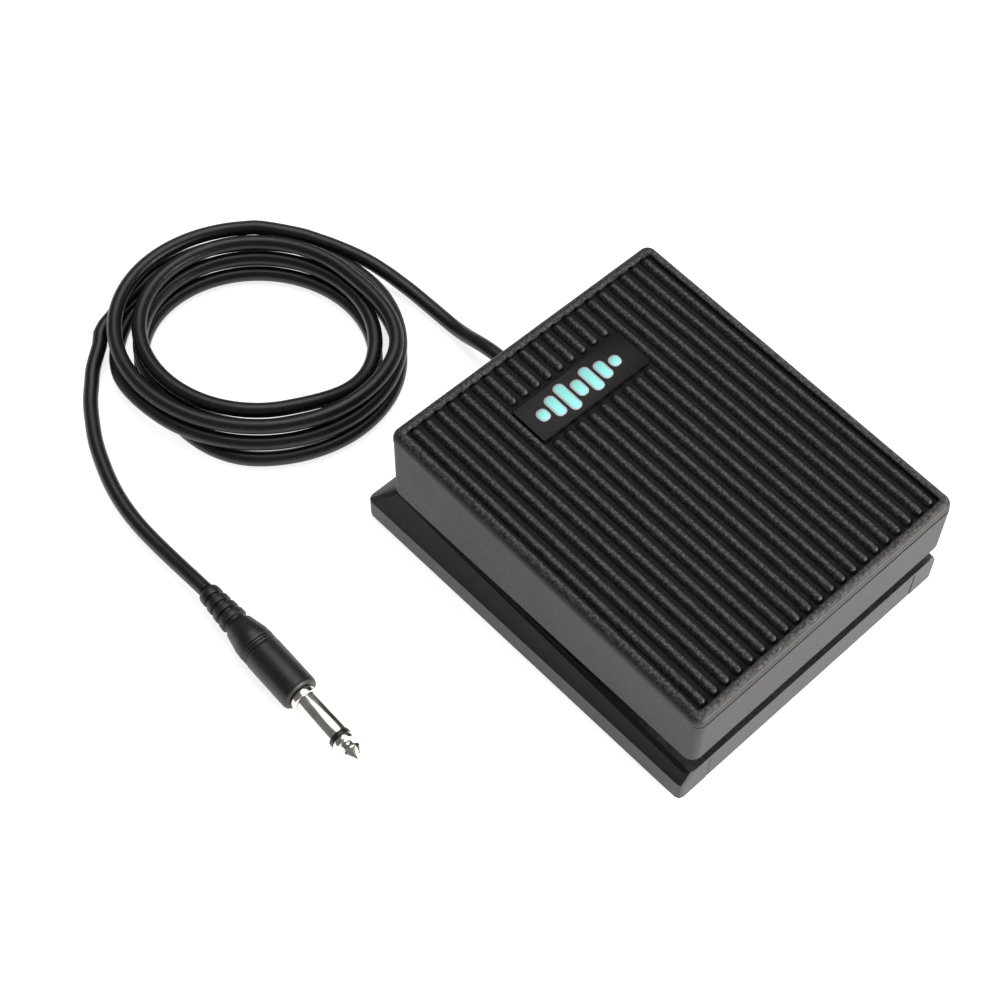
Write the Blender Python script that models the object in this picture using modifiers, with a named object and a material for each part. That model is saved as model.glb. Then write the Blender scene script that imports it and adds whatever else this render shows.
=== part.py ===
"""Sustain pedal for a keyboard: a hinged treadle over a weighted base, with its cord and jack plug.

The origin is at the middle of the footprint, on the floor. +X is the width, +Y points to the hinge
and the cord's exit, +Z is up. Lengths in this file are in millimetres; MM turns them into metres.
"""

import math

import bmesh
import bpy
from mathutils import Matrix, Vector

MM = 0.001
GAP = 0.3  # clearance between two pieces that touch

# Base
BASE_WIDTH = 100.0
BASE_LENGTH = 120.0
RIM_BOTTOM = 1.0
BAND_TOP = 8.2
DECK_FRONT = 12.5
DECK_REAR = 19.5
DECK_WIDTH = 94.0
DECK_REAR_Y = 50.9
WALL = 2.2
BASE_CORNER = 1.6

# Treadle
TREAD_WIDTH = 96.0
TREAD_FRONT_Y = -60.4
TREAD_REAR_Y = 51.5
TOP_FRONT = 39.8
TOP_REAR = 46.4
RIM_FRONT = 19.6
RIM_REAR = 20.4
TREAD_CORNER = 3.0
CAP_THICKNESS = 3.06
CAP_EDGE = 2.0
RIB_COUNT = 21
RIB_PITCH = 4.24
RIB_WIDTH = 1.8
RIB_END = 52.2
RIB_DRAFT = 0.35
RIB_END_DRAFT = 0.6
POCKET_DEPTH = 1.5
POCKET_HALF_WIDTH = 44.9
POCKET_END = 53.2
LABEL_HALF_WIDTH = 19.7
LABEL_LOW = 27.1
LABEL_HIGH = 39.5
LABEL_TOP = -0.1
LABEL_BOTTOM = -0.6

# Hinge
HINGE_Y = 44.0
HINGE_Z = 25.0
PIN_RADIUS = 1.5
PIN_HALF_LENGTH = 37.0
LUG_RADIUS = 4.5
BASE_LUG_X = (27.0, 30.0)
TREAD_LUG_X = (30.6, 33.6)

# Bottom plate, feet and screws
PLATE_LOW = 1.8
PLATE_HIGH = 3.8
FOOT_RADIUS = 5.5
FOOT_HEIGHT = 1.5
FEET = {
    "front_left": (-40, -51), "front_right": (40, -51),
    "rear_left": (-40, 51), "rear_right": (40, 51),
}
SCREWS = {
    "front_left": (-42, -42), "front_right": (42, -42),
    "rear_left": (-42, 40), "rear_right": (42, 40),
}
SCREW_HOLE = 1.85
BOSS_RADIUS = 3.6

# Snap switch
SWITCH_LOW = (-3.2, 0.1, 22.5)
SWITCH_HIGH = (3.2, 19.9, 32.7)
SWITCH_SCREW_Y = (5.2, 14.8)
SWITCH_SCREW_Z = 25.5
LEVER_Y = 18.5
LEVER_Z = 33.85
LEVER_LENGTH = 18.5
LEVER_TILT = math.radians(8.5)
PLUNGER_Y = 12.5

# Spring, bumpers and hooks
SPRING_Y = -30.0
SPRING_RADIUS = 6.0
SPRING_WIRE = 0.7
SPRING_TURNS = 6
BUMPER_X = 20.0
BUMPER_Y = -50.0
HOOK_X = 30.0
HOOK_Y = (-45.5, -42.5)
HOOK_BOTTOM = 9.0

# Cord and plug
CORD_RADIUS = 2.2
EXIT_X = 10.0
EXIT_Z = 8.6
GLAND_END_Y = 70.0
CLAMP_Y = 40.0
CLAMP_SPACING = 6.5
COIL_CENTRE = (-36.4, 124.5)
COIL_ANGLE = math.radians(-55.0)
COIL_OUTER = (44.2, 41.3)
COIL_INNER = (32.0, 26.4)
COIL_HEIGHT = 13.3
PLUG_START = (-100.4, 67.7, 5.6)
PLUG_YAW = math.radians(-2.4)

LEAD_IN_ROUTE = [
    (10.0, 70.3, 8.6), (10.0, 75.0, 8.1), (10.2, 80.0, 6.6), (10.6, 85.5, 4.4), (11.0, 91.0, 2.8),
    (11.2, 97.0, 2.3), (11.1, 103.5, 2.4), (10.7, 109.5, 3.0), (9.9, 114.5, 3.9), (8.9, 119.0, 5.0),
]
LEAD_OUT_ROUTE = [
    (-73.0, 154.2, 4.1), (-76.6, 151.1, 3.2), (-80.2, 147.2, 2.6), (-84.3, 142.3, 2.3), (-88.2, 136.2, 2.3),
    (-91.8, 129.7, 2.3), (-94.7, 122.7, 2.3), (-97.2, 115.3, 2.3), (-98.9, 107.8, 2.3), (-99.9, 99.4, 2.4),
    (-100.2, 90.1, 2.8), (-100.3, 80.5, 3.9), (-100.4, 73.5, 5.0), (-100.4, 68.0, 5.6),
]


def collection(name):
    group = bpy.data.collections.new(name)
    bpy.context.scene.collection.children.link(group)
    return group


def material(name, colour, roughness, metallic=0.0):
    finish = bpy.data.materials.new(name)
    finish.use_nodes = True
    shader = finish.node_tree.nodes["Principled BSDF"]
    shader.inputs["Base Color"].default_value = (*colour, 1.0)
    shader.inputs["Roughness"].default_value = roughness
    shader.inputs["Metallic"].default_value = metallic
    return finish


for old in list(bpy.data.objects):
    bpy.data.objects.remove(old, do_unlink=True)

PARTS = collection("sustain_pedal")
CUTTERS = collection("cutters")


def deck_height(y):
    """Height of the base's inclined deck at a distance y along the pedal."""
    share = (y + BASE_LENGTH / 2) / (DECK_REAR_Y + BASE_LENGTH / 2)
    return DECK_FRONT + share * (DECK_REAR - DECK_FRONT)


TOP_SLOPE = math.atan2(TOP_REAR - TOP_FRONT, TREAD_REAR_Y - TREAD_FRONT_Y)
COVER_DROP = (CAP_THICKNESS + GAP) / math.cos(TOP_SLOPE)


def cover_height(y):
    """Height of the treadle cover's top plate, under the tread cap."""
    return TOP_FRONT + (y - TREAD_FRONT_Y) * math.tan(TOP_SLOPE) - COVER_DROP


def place(name, mesh, finish=None, parent=None, round_piece=False):
    """Adds a mesh, written in world millimetres scaled to metres, as a part or as a cutter."""
    item = bpy.data.objects.new(name, mesh)
    if finish is None:
        CUTTERS.objects.link(item)
        item.hide_render = True
        item.display_type = "WIRE"
    else:
        PARTS.objects.link(item)
        mesh.materials.append(finish)
    if parent:
        item.parent = parent
        item.location = -parent.location
    if round_piece:
        mesh.shade_smooth()
        mesh.set_sharp_from_angle(angle=math.radians(40))
    return item


def finished_mesh(name, shape):
    bmesh.ops.recalc_face_normals(shape, faces=shape.faces)
    mesh = bpy.data.meshes.new(name)
    shape.to_mesh(mesh)
    shape.free()
    return mesh


def add_box(shape, low, high):
    """Adds a box between two corners, in millimetres, and returns its vertices."""
    verts = bmesh.ops.create_cube(shape, size=1.0)["verts"]
    for vert in verts:
        vert.co = Vector([(a if c < 0 else b) * MM for c, a, b in zip(vert.co, low, high)])
    return verts


def upright_edges(shape, minimum=0.5):
    """Edges that run mostly along Z."""
    edges = []
    for edge in shape.edges:
        run = edge.verts[1].co - edge.verts[0].co
        if abs(run.normalized().z) > minimum:
            edges.append(edge)
    return edges


def round_edges(shape, edges, radius, steps):
    bmesh.ops.bevel(shape, geom=edges, offset=radius * MM, segments=steps, profile=0.5, affect="EDGES")


def box(name, low, high, finish=None, parent=None, corner=0.0, edge=0.0):
    """A box between two corners, with rounded upright corners and rounded top edges where asked."""
    shape = bmesh.new()
    add_box(shape, low, high)
    if corner:
        round_edges(shape, upright_edges(shape), corner, 4)
    if edge:
        top = max(v.co.z for v in shape.verts)
        rim = [e for e in shape.edges if min(v.co.z for v in e.verts) > top - 1e-7]
        round_edges(shape, rim, edge, 3)
    return place(name, finished_mesh(name, shape), finish, parent)


def along(axis):
    """Rotation that carries +Z onto an axis."""
    return Vector((0, 0, 1)).rotation_difference(Vector(axis)).to_matrix().to_4x4()


def rod(name, start, end, radius, finish=None, parent=None, sides=24):
    """A cylinder between two points, in millimetres."""
    start, end = Vector(start) * MM, Vector(end) * MM
    span = end - start
    move = Matrix.Translation((start + end) / 2) @ along(span.normalized())
    shape = bmesh.new()
    bmesh.ops.create_cone(
        shape, cap_ends=True, segments=sides, radius1=radius * MM, radius2=radius * MM,
        depth=span.length, matrix=move,
    )
    return place(name, finished_mesh(name, shape), finish, parent, round_piece=True)


def turned(name, profile, origin, axis, finish, sides=24):
    """A turned piece: (radius, distance) pairs, listed from its far end back to its near end."""
    mesh = bpy.data.meshes.new(name)
    points = [(radius * MM, 0.0, distance * MM) for radius, distance in profile]
    mesh.from_pydata(points, [(i, i + 1) for i in range(len(points) - 1)], [])
    item = place(name, mesh, finish)
    item.matrix_world = Matrix.Translation(Vector(origin) * MM) @ along(axis)
    screw = item.modifiers.new("turn", "SCREW")
    screw.steps = screw.render_steps = sides
    screw.use_merge_vertices = True
    screw.merge_threshold = 0.00001
    screw.use_smooth_shade = True
    return item


def prism(name, outline, low_x, high_x, centre, finish=None, parent=None):
    """An outline of (y, z) pairs around a centre, extruded along X."""
    shape = bmesh.new()
    verts = [shape.verts.new((low_x * MM, (centre[0] + y) * MM, (centre[1] + z) * MM)) for y, z in outline]
    face = shape.faces.new(verts)
    moved = bmesh.ops.extrude_face_region(shape, geom=[face])["geom"]
    far_side = [g for g in moved if isinstance(g, bmesh.types.BMVert)]
    bmesh.ops.translate(shape, vec=((high_x - low_x) * MM, 0, 0), verts=far_side)
    return place(name, finished_mesh(name, shape), finish, parent)


def arc(radius, start, stop, steps):
    """Points of an arc about the origin, angles in degrees."""
    turns = [math.radians(start + (stop - start) * i / steps) for i in range(steps + 1)]
    return [(radius * math.cos(t), radius * math.sin(t)) for t in turns]


def smooth_route(points, spacing):
    """Points read at an even spacing from a smooth curve through the route's own points."""
    nodes = [Vector(p) for p in points]
    ends = [nodes[0] * 2 - nodes[1]] + nodes + [nodes[-1] * 2 - nodes[-2]]
    fine = []
    for a, b, c, d in zip(ends, ends[1:], ends[2:], ends[3:]):
        for step in range(12):
            t = step / 12
            square = (a * 2 - b * 5 + c * 4 - d) * t**2
            cube = (b * 3 - a - c * 3 + d) * t**3
            fine.append((b * 2 + (c - a) * t + square + cube) / 2)
    fine.append(nodes[-1])
    lengths = [0.0]
    for a, b in zip(fine, fine[1:]):
        lengths.append(lengths[-1] + (b - a).length)
    count = max(2, round(lengths[-1] / spacing))
    route = []
    for i in range(count + 1):
        target = lengths[-1] * i / count
        k = max(j for j in range(len(fine) - 1) if lengths[j] <= target + 1e-9)
        share = (target - lengths[k]) / (lengths[k + 1] - lengths[k])
        route.append(fine[k].lerp(fine[k + 1], share))
    return route


def tube(name, points, radius, finish, resolution=2):
    """A round tube along a list of points, in millimetres."""
    curve = bpy.data.curves.new(name, "CURVE")
    curve.dimensions = "3D"
    curve.bevel_depth = radius * MM
    curve.bevel_resolution = resolution
    curve.use_fill_caps = True
    spline = curve.splines.new("POLY")
    spline.points.add(len(points) - 1)
    for point, place_at in zip(spline.points, points):
        point.co = (*(Vector(place_at) * MM), 1.0)
    spline.use_smooth = True
    curve.materials.append(finish)
    item = bpy.data.objects.new(name, curve)
    PARTS.objects.link(item)
    return item


def join(item, *tools):
    for tool in tools:
        union = item.modifiers.new(tool.name, "BOOLEAN")
        union.operation = "UNION"
        union.object = tool


def cut(item, *tools):
    for tool in tools:
        opening = item.modifiers.new(tool.name, "BOOLEAN")
        opening.operation = "DIFFERENCE"
        opening.object = tool


black_plastic = material("black_plastic", (0.025, 0.024, 0.024), 0.55)
tread_rubber = material("tread_rubber", (0.018, 0.018, 0.019), 0.6)
label_gloss = material("label_gloss", (0.01, 0.01, 0.01), 0.25)
foot_rubber = material("foot_rubber", (0.02, 0.02, 0.02), 0.85)
plate_steel = material("plate_steel", (0.45, 0.45, 0.46), 0.4, 1.0)
bright_steel = material("bright_steel", (0.62, 0.62, 0.63), 0.25, 1.0)
spring_steel = material("spring_steel", (0.5, 0.5, 0.52), 0.3, 1.0)
switch_plastic = material("switch_plastic", (0.03, 0.03, 0.032), 0.45)
plunger_plastic = material("plunger_plastic", (0.55, 0.08, 0.05), 0.4)
terminal_brass = material("terminal_brass", (0.7, 0.52, 0.22), 0.3, 1.0)
cord_pvc = material("cord_pvc", (0.012, 0.012, 0.012), 0.45)
lead_red = material("lead_red", (0.5, 0.04, 0.03), 0.5)
lead_white = material("lead_white", (0.75, 0.74, 0.7), 0.5)
boot_pvc = material("boot_pvc", (0.014, 0.014, 0.015), 0.5)
plug_nickel = material("plug_nickel", (0.72, 0.69, 0.64), 0.18, 1.0)
insulator_black = material("insulator_black", (0.02, 0.02, 0.02), 0.4)


def lug(name, x_range, foot_z, finish=None, parent=None):
    """A rounded ear around the hinge axis that reaches up or down to its wall."""
    reach = foot_z - HINGE_Z
    if reach < 0:
        outline = arc(LUG_RADIUS, 0, 180, 8) + [(-LUG_RADIUS, reach), (LUG_RADIUS, reach)]
    else:
        outline = arc(LUG_RADIUS, 180, 360, 8) + [(LUG_RADIUS, reach), (-LUG_RADIUS, reach)]
    return prism(name, outline, x_range[0], x_range[1], (HINGE_Y, HINGE_Z), finish, parent)


def base_outer():
    """The base's outer surface: an upright band, then a skirt that rises to the inclined deck."""
    half_x, half_y = BASE_WIDTH / 2, BASE_LENGTH / 2
    shape = bmesh.new()
    add_box(shape, (-half_x, -half_y, RIM_BOTTOM), (half_x, half_y, BAND_TOP))
    shape.faces.ensure_lookup_table()
    top = max(shape.faces, key=lambda f: f.calc_center_median().z)
    skirt = bmesh.ops.extrude_face_region(shape, geom=[top])["geom"]
    for vert in [g for g in skirt if isinstance(g, bmesh.types.BMVert)]:
        front = vert.co.y < 0
        side = DECK_WIDTH / 2 * (1 if vert.co.x > 0 else -1)
        vert.co = Vector((side, -half_y if front else DECK_REAR_Y, DECK_FRONT if front else DECK_REAR)) * MM
    bmesh.ops.delete(shape, geom=[top], context="FACES_ONLY")
    bmesh.ops.recalc_face_normals(shape, faces=shape.faces)
    corners = []
    for edge in shape.edges:
        a, b = edge.verts
        if abs(a.co.z - b.co.z) > 3 * MM:
            corners.append(edge)
    round_edges(shape, corners, BASE_CORNER, 2)
    floor = [f for f in shape.faces if f.calc_center_median().z < (RIM_BOTTOM + 0.1) * MM]
    bmesh.ops.delete(shape, geom=floor, context="FACES_ONLY")
    return finished_mesh("base_shell", shape)


def make_base():
    shell = place("base_shell", base_outer(), black_plastic)
    thick = shell.modifiers.new("wall", "SOLIDIFY")
    thick.thickness = WALL * MM
    thick.offset = -1.0
    thick.use_even_offset = True

    for side in (-1, 1):
        x_range = sorted(side * x for x in BASE_LUG_X)
        join(shell, lug(f"base_lug_{side}", x_range, 17.6))
    join(shell, rod("spring_post", (0, SPRING_Y, 12.8), (0, SPRING_Y, 20.0), 4.0))
    join(shell, box("switch_rib", (-6.6, 0.0, 15.4), (-3.6, 20.0, 31.0)))
    for corner, (x, y) in SCREWS.items():
        top = deck_height(y) - 1.1
        join(shell, rod(f"boss_{corner}", (x, y, PLATE_HIGH + GAP), (x, y, top), BOSS_RADIUS))
    for side in (-1, 1):
        x = EXIT_X + side * CLAMP_SPACING
        join(shell, rod(f"clamp_boss_{side}", (x, CLAMP_Y, 7.4), (x, CLAMP_Y, 17.7), 2.4, sides=16))
    block = arc(6.0, 0, 180, 10) + [(-6.0, -4.4), (6.0, -4.4)]
    outlet = prism("cord_block", block, 49.0, 60.0, (0.0, 0.0))
    exit_point = Vector((EXIT_X, 0, EXIT_Z)) * MM
    outlet.matrix_world = Matrix.Translation(exit_point) @ Matrix.Rotation(math.pi / 2, 4, "Z")
    join(shell, outlet)

    cut(shell, rod("pin_bore", (-45, HINGE_Y, HINGE_Z), (45, HINGE_Y, HINGE_Z), PIN_RADIUS + 0.15))
    cut(shell, rod("gland_bore", (EXIT_X, 46, EXIT_Z), (EXIT_X, 64, EXIT_Z), 3.7))
    cut(shell, rod("lead_hole", (8, 24, 13), (8, 24, 20), 3.2, sides=16))
    cut(shell, box("front_window", (-40, -61, 0), (40, -57.7, 11.2)))
    for corner, (x, y) in SCREWS.items():
        cut(shell, rod(f"boss_hole_{corner}", (x, y, 3), (x, y, 11), SCREW_HOLE, sides=16))
    for side in (-1, 1):
        x = EXIT_X + side * CLAMP_SPACING
        cut(shell, rod(f"clamp_hole_{side}", (x, CLAMP_Y, 6), (x, CLAMP_Y, 13.4), 1.45, sides=12))
        x = side * HOOK_X
        cut(shell, box(f"hook_slot_{side}", (x - 4.5, -45.9, 8), (x + 4.5, -41.2, 16)))
    for y in SWITCH_SCREW_Y:
        hole = rod(f"rib_hole_{y}", (-8, y, SWITCH_SCREW_Z), (-2, y, SWITCH_SCREW_Z), 1.25, sides=12)
        cut(shell, hole)

    strip = box("front_strip", (-39.7, -60.0, 1.0), (39.7, -57.9, 10.9), black_plastic)
    for side in (-1, 1):
        join(strip, box(f"strip_tab_{side}", (side * 20 - 4, -58.5, 5.2), (side * 20 + 4, -53, 7.0)))

    plate = box("bottom_plate", (-47.4, -57.3, PLATE_LOW), (47.4, 57.3, PLATE_HIGH), plate_steel, corner=2.0)
    for corner, (x, y) in SCREWS.items():
        cut(plate, rod(f"plate_hole_{corner}", (x, y, 0), (x, y, 5), SCREW_HOLE, sides=16))
    return shell


def make_underside():
    for corner, (x, y) in FEET.items():
        rim = FOOT_RADIUS - 0.5
        profile = [(0, FOOT_HEIGHT), (FOOT_RADIUS, FOOT_HEIGHT), (FOOT_RADIUS, 0.5), (rim, 0), (0, 0)]
        turned(f"foot_{corner}", profile, (x, y, 0), (0, 0, 1), foot_rubber)
    for corner, (x, y) in SCREWS.items():
        profile = [(0, 10), (1.0, 10), (1.5, 9.4), (1.5, 1.5), (2.8, 1.5), (2.6, 0.8), (1.8, 0.5), (0, 0.5)]
        turned(f"base_screw_{corner}", profile, (x, y, 0), (0, 0, 1), bright_steel, sides=16)


def make_hinge():
    end = PIN_HALF_LENGTH
    profile = [(0, end), (1.2, end), (1.5, end - 0.3), (1.5, 0.3 - end), (1.2, -end), (0, -end)]
    turned("hinge_pin", profile, (0, HINGE_Y, HINGE_Z), (1, 0, 0), bright_steel)
    for side, name in ((-1, "left"), (1, "right")):
        ring = arc(3.0, 30, 330, 12) + arc(1.8, 330, 30, 12)
        x_range = sorted((side * 34.6, side * 35.3))
        prism(f"pin_clip_{name}", ring, x_range[0], x_range[1], (HINGE_Y, HINGE_Z), bright_steel)


def make_stops():
    for side, name in ((-1, "left"), (1, "right")):
        floor = deck_height(BUMPER_Y + 4) + GAP
        profile = [(0, 16.3), (2.2, 16.3), (3.4, 15.6), (3.8, 14.6), (3.8, floor), (0, floor)]
        foot = (side * BUMPER_X, BUMPER_Y, 0)
        turned(f"stop_bumper_{name}", profile, foot, (0, 0, 1), foot_rubber, sides=20)


def make_spring():
    low = deck_height(SPRING_Y + SPRING_RADIUS) + GAP + SPRING_WIRE
    high = cover_height(SPRING_Y - SPRING_RADIUS) - WALL - GAP - SPRING_WIRE
    per_turn = 12
    points = []
    for i in range(SPRING_TURNS * per_turn + 1):
        turn = 2 * math.pi * i / per_turn
        rise = i / (SPRING_TURNS * per_turn)
        x = SPRING_RADIUS * math.cos(turn)
        y = SPRING_Y + SPRING_RADIUS * math.sin(turn)
        points.append((x, y, low + rise * (high - low)))
    tube("return_spring", points, SPRING_WIRE, spring_steel)


def make_switch():
    case = box("switch_case", SWITCH_LOW, SWITCH_HIGH, switch_plastic)
    top = SWITCH_HIGH[2]
    for side, x in ((-1, (-3.2, -2.4)), (1, (2.4, 3.2))):
        join(case, box(f"switch_ear_{side}", (x[0], 17.3, top - 0.5), (x[1], 19.7, 35.0)))
    for y in SWITCH_SCREW_Y:
        cut(case, rod(f"case_hole_{y}", (-5, y, SWITCH_SCREW_Z), (5, y, SWITCH_SCREW_Z), 1.25, sides=12))
        profile = [(0, 4.8), (1.2, 4.8), (1.9, 4.3), (1.9, 3.5), (0.9, 3.5), (0.9, -6.0), (0, -6.0)]
        name = "front" if y == SWITCH_SCREW_Y[0] else "rear"
        turned(f"switch_screw_{name}", profile, (0, y, SWITCH_SCREW_Z), (1, 0, 0), bright_steel, sides=12)
    cut(case, rod("plunger_bore", (0, PLUNGER_Y, 28), (0, PLUNGER_Y, 34), 1.25, sides=16))

    for name, y in (("normally_open", 3.0), ("normally_closed", 10.0), ("common", 17.0)):
        box(f"terminal_{name}", (-0.25, y - 1.5, 18.3), (0.25, y + 1.5, SWITCH_LOW[2] - GAP), terminal_brass)

    rod("switch_plunger", (0, PLUNGER_Y, 29.2), (0, PLUNGER_Y, 34.15), 0.9, plunger_plastic, sides=16)

    pivot = bpy.data.objects.new("lever_axis", None)
    pivot.location = Vector((0, LEVER_Y, LEVER_Z)) * MM
    PARTS.objects.link(pivot)
    lever_ends = (-1.9, LEVER_Y, LEVER_Z), (1.9, LEVER_Y, LEVER_Z)
    lever = rod("switch_lever", *lever_ends, 0.8, bright_steel, pivot, sides=16)
    blade = box("lever_blade", (-1.9, -LEVER_LENGTH, -0.25), (1.9, -0.2, 0.25))
    blade.parent = pivot
    blade.rotation_euler.x = -LEVER_TILT
    join(lever, blade)


def treadle_outer():
    """The treadle cover's outer surface: upright walls under an inclined top, open below."""
    half = TREAD_WIDTH / 2
    shape = bmesh.new()
    for vert in add_box(shape, (-half, TREAD_FRONT_Y, 0), (half, TREAD_REAR_Y, 1)):
        front = vert.co.y < 0
        if vert.co.z > 0:
            vert.co.z = cover_height(TREAD_FRONT_Y if front else TREAD_REAR_Y) * MM
        else:
            vert.co.z = (RIM_FRONT if front else RIM_REAR) * MM
    round_edges(shape, upright_edges(shape), TREAD_CORNER, 4)
    open_side = [f for f in shape.faces if f.calc_center_median().z < (RIM_REAR + 0.1) * MM]
    bmesh.ops.delete(shape, geom=open_side, context="FACES_ONLY")
    return finished_mesh("treadle_cover", shape)


def make_treadle(treadle):
    cover = place("treadle_cover", treadle_outer(), black_plastic, treadle)
    thick = cover.modifiers.new("wall", "SOLIDIFY")
    thick.thickness = WALL * MM
    thick.offset = -1.0
    thick.use_even_offset = True
    for side in (-1, 1):
        x_range = sorted(side * x for x in TREAD_LUG_X)
        join(cover, lug(f"tread_lug_{side}", x_range, 41.4, parent=treadle))
        x = side * HOOK_X
        leg_top = cover_height(HOOK_Y[0]) - 1.0
        leg_low, leg_high = (x - 4, HOOK_Y[0], HOOK_BOTTOM), (x + 4, HOOK_Y[1], leg_top)
        join(cover, box(f"hook_leg_{side}", leg_low, leg_high, parent=treadle))
        toe_low, toe_high = (x - 4, HOOK_Y[0] - 1.6, HOOK_BOTTOM), (x + 4, HOOK_Y[0] + 0.5, 10.85)
        join(cover, box(f"hook_toe_{side}", toe_low, toe_high, parent=treadle))
        x = side * BUMPER_X
        post_top = cover_height(BUMPER_Y) - 1.0
        post_ends = (x, BUMPER_Y, 21.6), (x, BUMPER_Y, post_top)
        join(cover, rod(f"stop_post_{side}", *post_ends, 3.0, parent=treadle, sides=16))
    spring_top = cover_height(SPRING_Y) - 1.0
    join(cover, rod("spring_boss", (0, SPRING_Y, 30.5), (0, SPRING_Y, spring_top), 4.0, parent=treadle))
    join(cover, rod("striker", (0, 3.0, 37.0), (0, 3.0, 39.2), 1.5, parent=treadle, sides=16))
    bore_ends = (-45, HINGE_Y, HINGE_Z), (45, HINGE_Y, HINGE_Z)
    cut(cover, rod("tread_bore", *bore_ends, PIN_RADIUS + 0.15, parent=treadle))


def rib_spans():
    """Each rib's x and its stretches along the cap; the middle ribs stop at the label's seat."""
    for i in range(RIB_COUNT):
        x = (i - (RIB_COUNT - 1) / 2) * RIB_PITCH
        if abs(x) < LABEL_HALF_WIDTH:
            yield x, [(-RIB_END, LABEL_LOW - 1.0), (LABEL_HIGH + 1.0, RIB_END)]
        else:
            yield x, [(-RIB_END, RIB_END)]


def make_tread_cap(treadle):
    """The cap lies in the top's own plane: its mesh is flat, and its object carries the slope."""
    half_length = (TREAD_REAR_Y - TREAD_FRONT_Y) / math.cos(TOP_SLOPE) / 2
    half = TREAD_WIDTH / 2
    middle = Vector((0, (TREAD_FRONT_Y + TREAD_REAR_Y) / 2, (TOP_FRONT + TOP_REAR) / 2)) * MM
    low, high = (-half, -half_length, -CAP_THICKNESS), (half, half_length, 0)
    cap = box("tread_cap", low, high, tread_rubber, treadle, corner=TREAD_CORNER, edge=CAP_EDGE)
    pocket_low = (-POCKET_HALF_WIDTH, -POCKET_END, -POCKET_DEPTH)
    pocket = box("tread_pocket", pocket_low, (POCKET_HALF_WIDTH, POCKET_END, 1), parent=treadle, corner=3.0)

    bars = bmesh.new()
    for x, spans in rib_spans():
        for start, stop in spans:
            low = (x - RIB_WIDTH / 2, start, -POCKET_DEPTH - 0.4)
            high = (x + RIB_WIDTH / 2, stop, -0.05)
            for vert in add_box(bars, low, high):
                if vert.co.z > -MM:
                    vert.co.x += RIB_DRAFT * MM * (-1 if vert.co.x > x * MM else 1)
                    vert.co.y += RIB_END_DRAFT * MM * (-1 if vert.co.y > (start + stop) / 2 * MM else 1)
    ribs = place("tread_ribs", finished_mesh("tread_ribs", bars), parent=treadle)
    seat_low = (-LABEL_HALF_WIDTH - 0.2, LABEL_LOW - 0.2, -POCKET_DEPTH - 0.4)
    seat = box("label_seat", seat_low, (LABEL_HALF_WIDTH + 0.2, LABEL_HIGH + 0.2, -0.9), parent=treadle)
    cut(cap, pocket)
    join(cap, ribs, seat)

    plate_low = (-LABEL_HALF_WIDTH, LABEL_LOW, LABEL_BOTTOM)
    plate_high = (LABEL_HALF_WIDTH, LABEL_HIGH, LABEL_TOP)
    label = box("label_plate", plate_low, plate_high, label_gloss, treadle, corner=0.8)
    for item in (cap, pocket, ribs, seat, label):
        item.location = middle - treadle.location
        item.rotation_euler.x = TOP_SLOPE


def make_gland():
    """Strain relief: an inner flange, a neck through the base's block, a collar and a tapered tail."""
    profile = [(0, 23.0), (2.8, 23.0), (2.9, 21.6)]
    for i in range(3):
        start = 20.9 - i * 1.9
        radius = 3.0 + 0.2 * i
        profile += [(radius - 0.35, start), (radius - 0.35, start - 0.6)]
        profile += [(radius + 0.1, start - 0.8), (radius + 0.2, start - 1.7)]
    profile += [(4.5, 15.0), (4.5, 13.3), (3.4, 13.3), (3.4, 1.7), (4.6, 1.7), (4.6, 0), (0, 0)]
    turned("cord_gland", profile, (EXIT_X, GLAND_END_Y - 23.0, EXIT_Z), (0, 1, 0), boot_pvc)


def make_clamp():
    low = (EXIT_X - 9, CLAMP_Y - 2.5, 5.7)
    bar = box("cord_clamp", low, (EXIT_X + 9, CLAMP_Y + 2.5, 7.1), black_plastic, corner=1.0)
    for side, name in ((-1, "left"), (1, "right")):
        x = EXIT_X + side * CLAMP_SPACING
        cut(bar, rod(f"bar_hole_{name}", (x, CLAMP_Y, 5), (x, CLAMP_Y, 8), 1.45, sides=12))
        shank = [(0, 12.4), (0.7, 12.4), (1.1, 11.8), (1.1, 5.4)]
        profile = shank + [(2.2, 5.4), (2.0, 4.7), (1.4, 4.3), (0, 4.3)]
        turned(f"clamp_screw_{name}", profile, (x, CLAMP_Y, 0), (0, 0, 1), bright_steel, sides=12)


def make_leads():
    inner = [
        (10, 46.4, 8.7), (10, 43.5, 9.2), (10, 40, 9.6), (10, 36, 9.8), (9.6, 33, 10.0), (9.0, 30.2, 10.2),
    ]
    tube("cord_inner", smooth_route(inner, 3.0), CORD_RADIUS, cord_pvc)
    signal = [(8.1, 29.6, 10.4), (7.5, 26.8, 12.4), (7.2, 24.6, 16.0), (6.6, 22.6, 19.0), (4.6, 19.4, 19.8),
              (2.2, 17.4, 19.5), (0.6, 17.0, 19.3)]
    ground = [(9.7, 29.6, 10.4), (9.3, 26.4, 12.6), (8.9, 23.9, 16.6), (8.2, 20.4, 19.8), (6.4, 13.0, 19.6),
              (4.2, 6.4, 19.3), (2.0, 3.5, 19.3), (0.6, 3.0, 19.3)]
    tube("lead_signal", smooth_route(signal, 1.8), 0.6, lead_red)
    tube("lead_ground", smooth_route(ground, 1.8), 0.6, lead_white)


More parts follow.
